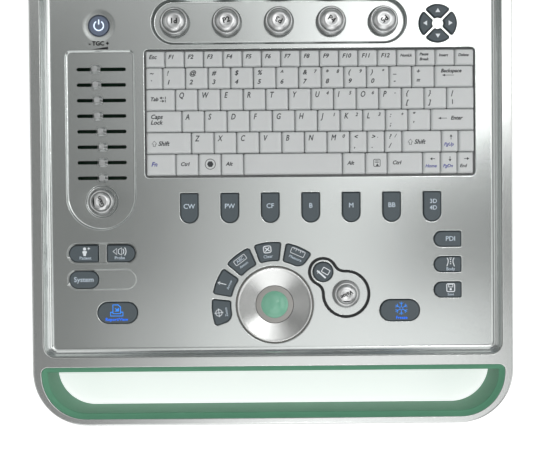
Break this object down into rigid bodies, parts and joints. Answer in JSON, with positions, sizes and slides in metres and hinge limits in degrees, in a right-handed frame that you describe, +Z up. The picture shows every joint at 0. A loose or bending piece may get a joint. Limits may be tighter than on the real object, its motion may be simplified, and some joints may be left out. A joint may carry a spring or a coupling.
{
  "type": "ultrasound scanner",
  "caption": "Laptop-form ultrasound scanner with sunk control panel, trackball, keyboard, looped carry handle and hinged display lid.",
  "frame": {"origin": "on the table, under the middle of the outline with the lid open at 110 degrees", "axes": "+X to the operator's right, +Y to the back, away from the handle, +Z up"},
  "size_m": [0.404, 0.5088, 0.3881],
  "materials": {
    "silver_shell": "metallic silver paint, satin",
    "silver_panel": "metallic silver paint, satin",
    "green_grip": "soft-touch, matt",
    "grey_plastic": "moulded, matt",
    "ring_metal": "turned and satin anodised",
    "black_plastic": "moulded, matt",
    "circuit_board": "solder mask",
    "battery_case": "wrapped cells, matt",
    "hinge_steel": "ground",
    "rubber_foot": "matt",
    "screw_steel": "blackened",
    "dark_bezel": "fine texture",
    "screen": "anti-glare film",
    "keycap_light": "fine texture",
    "ball_green": "polished",
    "power_blue": "translucent, satin",
    "key_slate": "silicone, satin",
    "knob_silver": "electroplated, satin"
  },
  "bodies": {
    "console": {"case_frame": "silver_shell", "control_panel": "silver_panel", "bottom_case": "silver_shell", "handle_grip": "green_grip", "keyboard_frame": "grey_plastic", "trackball_ring": "ring_metal", "trackball_socket": "black_plastic", "control_board": "circuit_board", "main_board": "circuit_board", "battery_pack": "battery_case", "probe_sockets": "black_plastic", "hinge_shafts": "hinge_steel", "rubber_feet": "rubber_foot", "case_screws": "screw_steel"},
    "lid": {"lid_cover": "silver_shell", "lid_bezel": "dark_bezel", "lcd_module": "screen"},
    "keyboard_keys": {"keyboard_keys": "keycap_light"},
    "trackball_ball": {"trackball_ball": "ball_green"},
    "mode_cw": {"mode_cw": "key_slate"},
    "mode_pw": {"mode_pw": "key_slate"},
    "mode_cf": {"mode_cf": "key_slate"},
    "mode_b": {"mode_b": "key_slate"},
    "mode_m": {"mode_m": "key_slate"},
    "mode_bb": {"mode_bb": "key_slate"},
    "mode_3d": {"mode_3d": "key_slate"},
    "key_pdi": {"key_pdi": "key_slate"},
    "key_body": {"key_body": "key_slate"},
    "key_save": {"key_save": "key_slate"},
    "key_patient": {"key_patient": "key_slate"},
    "key_probe": {"key_probe": "key_slate"},
    "key_system": {"key_system": "key_slate"},
    "key_report": {"key_report": "key_slate"},
    "key_freeze": {"key_freeze": "key_slate"},
    "key_zoom": {"key_zoom": "key_slate"},
    "key_arrow": {"key_arrow": "key_slate"},
    "key_annotate": {"key_annotate": "key_slate"},
    "key_clear": {"key_clear": "key_slate"},
    "key_measure": {"key_measure": "key_slate"},
    "arrow_right": {"arrow_right": "key_slate"},
    "arrow_up": {"arrow_up": "key_slate"},
    "arrow_left": {"arrow_left": "key_slate"},
    "arrow_down": {"arrow_down": "key_slate"},
    "power_button": {"power_button": "power_blue"},
    "key_cursor": {"key_cursor": "key_slate"},
    "knob_p1": {"knob_p1": "knob_silver"},
    "knob_p2": {"knob_p2": "knob_silver"},
    "knob_p3": {"knob_p3": "knob_silver"},
    "knob_p4": {"knob_p4": "knob_silver"},
    "knob_p5": {"knob_p5": "knob_silver"},
    "gain_knob": {"gain_knob": "knob_silver"},
    "value_knob": {"value_knob": "knob_silver"},
    "tgc_slider_1": {"tgc_slider_1": "knob_silver"},
    "tgc_slider_2": {"tgc_slider_2": "knob_silver"},
    "tgc_slider_3": {"tgc_slider_3": "knob_silver"},
    "tgc_slider_4": {"tgc_slider_4": "knob_silver"},
    "tgc_slider_5": {"tgc_slider_5": "knob_silver"},
    "tgc_slider_6": {"tgc_slider_6": "knob_silver"},
    "tgc_slider_7": {"tgc_slider_7": "knob_silver"},
    "tgc_slider_8": {"tgc_slider_8": "knob_silver"}
  },
  "joints": [
    {"name": "lid_hinge", "type": "hinge", "parent": "console", "child": "lid", "pos_m": [0, 0.12959, 0.072], "axis": [-1, 0, 0], "range_deg": [-110, 25]},
    {"name": "mode_cw_press", "type": "slide", "parent": "console", "child": "mode_cw", "axis": [0, 0, -1], "range_m": [0, 0.0015], "stiffness_N_per_m": 600, "springref_m": -0.001},
    {"name": "mode_pw_press", "type": "slide", "parent": "console", "child": "mode_pw", "axis": [0, 0, -1], "range_m": [0, 0.0015], "stiffness_N_per_m": 600, "springref_m": -0.001},
    {"name": "mode_cf_press", "type": "slide", "parent": "console", "child": "mode_cf", "axis": [0, 0, -1], "range_m": [0, 0.0015], "stiffness_N_per_m": 600, "springref_m": -0.001},
    {"name": "mode_b_press", "type": "slide", "parent": "console", "child": "mode_b", "axis": [0, 0, -1], "range_m": [0, 0.0015], "stiffness_N_per_m": 600, "springref_m": -0.001},
    {"name": "mode_m_press", "type": "slide", "parent": "console", "child": "mode_m", "axis": [0, 0, -1], "range_m": [0, 0.0015], "stiffness_N_per_m": 600, "springref_m": -0.001},
    {"name": "mode_bb_press", "type": "slide", "parent": "console", "child": "mode_bb", "axis": [0, 0, -1], "range_m": [0, 0.0015], "stiffness_N_per_m": 600, "springref_m": -0.001},
    {"name": "mode_3d_press", "type": "slide", "parent": "console", "child": "mode_3d", "axis": [0, 0, -1], "range_m": [0, 0.0015], "stiffness_N_per_m": 600, "springref_m": -0.001},
    {"name": "key_pdi_press", "type": "slide", "parent": "console", "child": "key_pdi", "axis": [0, 0, -1], "range_m": [0, 0.0015], "stiffness_N_per_m": 600, "springref_m": -0.001},
    {"name": "key_body_press", "type": "slide", "parent": "console", "child": "key_body", "axis": [0, 0, -1], "range_m": [0, 0.0015], "stiffness_N_per_m": 600, "springref_m": -0.001},
    {"name": "key_save_press", "type": "slide", "parent": "console", "child": "key_save", "axis": [0, 0, -1], "range_m": [0, 0.0015], "stiffness_N_per_m": 600, "springref_m": -0.001},
    {"name": "key_patient_press", "type": "slide", "parent": "console", "child": "key_patient", "axis": [0, 0, -1], "range_m": [0, 0.0015], "stiffness_N_per_m": 600, "springref_m": -0.001},
    {"name": "key_probe_press", "type": "slide", "parent": "console", "child": "key_probe", "axis": [0, 0, -1], "range_m": [0, 0.0015], "stiffness_N_per_m": 600, "springref_m": -0.001},
    {"name": "key_system_press", "type": "slide", "parent": "console", "child": "key_system", "axis": [0, 0, -1], "range_m": [0, 0.0015], "stiffness_N_per_m": 600, "springref_m": -0.001},
    {"name": "key_report_press", "type": "slide", "parent": "console", "child": "key_report", "axis": [0, 0, -1], "range_m": [0, 0.0015], "stiffness_N_per_m": 600, "springref_m": -0.001},
    {"name": "key_freeze_press", "type": "slide", "parent": "console", "child": "key_freeze", "axis": [0, 0, -1], "range_m": [0, 0.0015], "stiffness_N_per_m": 600, "springref_m": -0.001},
    {"name": "key_zoom_press", "type": "slide", "parent": "console", "child": "key_zoom", "axis": [0, 0, -1], "range_m": [0, 0.0015], "stiffness_N_per_m": 600, "springref_m": -0.001},
    {"name": "key_arrow_press", "type": "slide", "parent": "console", "child": "key_arrow", "axis": [0, 0, -1], "range_m": [0, 0.0015], "stiffness_N_per_m": 600, "springref_m": -0.001},
    {"name": "key_annotate_press", "type": "slide", "parent": "console", "child": "key_annotate", "axis": [0, 0, -1], "range_m": [0, 0.0015], "stiffness_N_per_m": 600, "springref_m": -0.001},
    {"name": "key_clear_press", "type": "slide", "parent": "console", "child": "key_clear", "axis": [0, 0, -1], "range_m": [0, 0.0015], "stiffness_N_per_m": 600, "springref_m": -0.001},
    {"name": "key_measure_press", "type": "slide", "parent": "console", "child": "key_measure", "axis": [0, 0, -1], "range_m": [0, 0.0015], "stiffness_N_per_m": 600, "springref_m": -0.001},
    {"name": "arrow_right_press", "type": "slide", "parent": "console", "child": "arrow_right", "axis": [0, 0, -1], "range_m": [0, 0.0015], "stiffness_N_per_m": 600, "springref_m": -0.001},
    {"name": "arrow_up_press", "type": "slide", "parent": "console", "child": "arrow_up", "axis": [0, 0, -1], "range_m": [0, 0.0015], "stiffness_N_per_m": 600, "springref_m": -0.001},
    {"name": "arrow_left_press", "type": "slide", "parent": "console", "child": "arrow_left", "axis": [0, 0, -1], "range_m": [0, 0.0015], "stiffness_N_per_m": 600, "springref_m": -0.001},
    {"name": "arrow_down_press", "type": "slide", "parent": "console", "child": "arrow_down", "axis": [0, 0, -1], "range_m": [0, 0.0015], "stiffness_N_per_m": 600, "springref_m": -0.001},
    {"name": "power_button_press", "type": "slide", "parent": "console", "child": "power_button", "axis": [0, 0, -1], "range_m": [0, 0.0015], "stiffness_N_per_m": 600, "springref_m": -0.001},
    {"name": "key_cursor_press", "type": "slide", "parent": "console", "child": "key_cursor", "axis": [0, 0, -1], "range_m": [0, 0.0015], "stiffness_N_per_m": 600, "springref_m": -0.001},
    {"name": "keyboard_keys_press", "type": "slide", "parent": "console", "child": "keyboard_keys", "axis": [0, 0, -1], "range_m": [0, 0.0025], "stiffness_N_per_m": 20000, "springref_m": -0.0008},
    {"name": "knob_p1_turn", "type": "hinge", "parent": "console", "child": "knob_p1", "pos_m": [-0.081, 0.08479, 0.05], "axis": [0, 0, -1], "continuous": true},
    {"name": "knob_p2_turn", "type": "hinge", "parent": "console", "child": "knob_p2", "pos_m": [-0.037, 0.08479, 0.05], "axis": [0, 0, -1], "continuous": true},
    {"name": "knob_p3_turn", "type": "hinge", "parent": "console", "child": "knob_p3", "pos_m": [0.007, 0.08479, 0.05], "axis": [0, 0, -1], "continuous": true},
    {"name": "knob_p4_turn", "type": "hinge", "parent": "console", "child": "knob_p4", "pos_m": [0.051, 0.08479, 0.05], "axis": [0, 0, -1], "continuous": true},
    {"name": "knob_p5_turn", "type": "hinge", "parent": "console", "child": "knob_p5", "pos_m": [0.095, 0.08479, 0.05], "axis": [0, 0, -1], "continuous": true},
    {"name": "gain_knob_turn", "type": "hinge", "parent": "console", "child": "gain_knob", "pos_m": [-0.1435, -0.06601, 0.05], "axis": [0, 0, -1], "continuous": true},
    {"name": "value_knob_turn", "type": "hinge", "parent": "console", "child": "value_knob", "pos_m": [0.062, -0.14561, 0.05], "axis": [0, 0, -1], "continuous": true},
    {"name": "tgc_slider_1_slide", "type": "slide", "parent": "console", "child": "tgc_slider_1", "axis": [1, 0, 0], "range_m": [-0.0132, 0.0228]},
    {"name": "tgc_slider_2_slide", "type": "slide", "parent": "console", "child": "tgc_slider_2", "axis": [1, 0, 0], "range_m": [-0.0138, 0.0222]},
    {"name": "tgc_slider_3_slide", "type": "slide", "parent": "console", "child": "tgc_slider_3", "axis": [1, 0, 0], "range_m": [-0.0149, 0.0211]},
    {"name": "tgc_slider_4_slide", "type": "slide", "parent": "console", "child": "tgc_slider_4", "axis": [1, 0, 0], "range_m": [-0.015, 0.021]},
    {"name": "tgc_slider_5_slide", "type": "slide", "parent": "console", "child": "tgc_slider_5", "axis": [1, 0, 0], "range_m": [-0.0177, 0.0183]},
    {"name": "tgc_slider_6_slide", "type": "slide", "parent": "console", "child": "tgc_slider_6", "axis": [1, 0, 0], "range_m": [-0.0185, 0.0175]},
    {"name": "tgc_slider_7_slide", "type": "slide", "parent": "console", "child": "tgc_slider_7", "axis": [1, 0, 0], "range_m": [-0.0186, 0.0174]},
    {"name": "tgc_slider_8_slide", "type": "slide", "parent": "console", "child": "tgc_slider_8", "axis": [1, 0, 0], "range_m": [-0.0186, 0.0174]},
    {"name": "trackball_roll", "type": "hinge", "parent": "console", "child": "trackball_ball", "pos_m": [0.0015, -0.15431, 0.033], "axis": [1, 0, 0], "continuous": true}
  ]
}
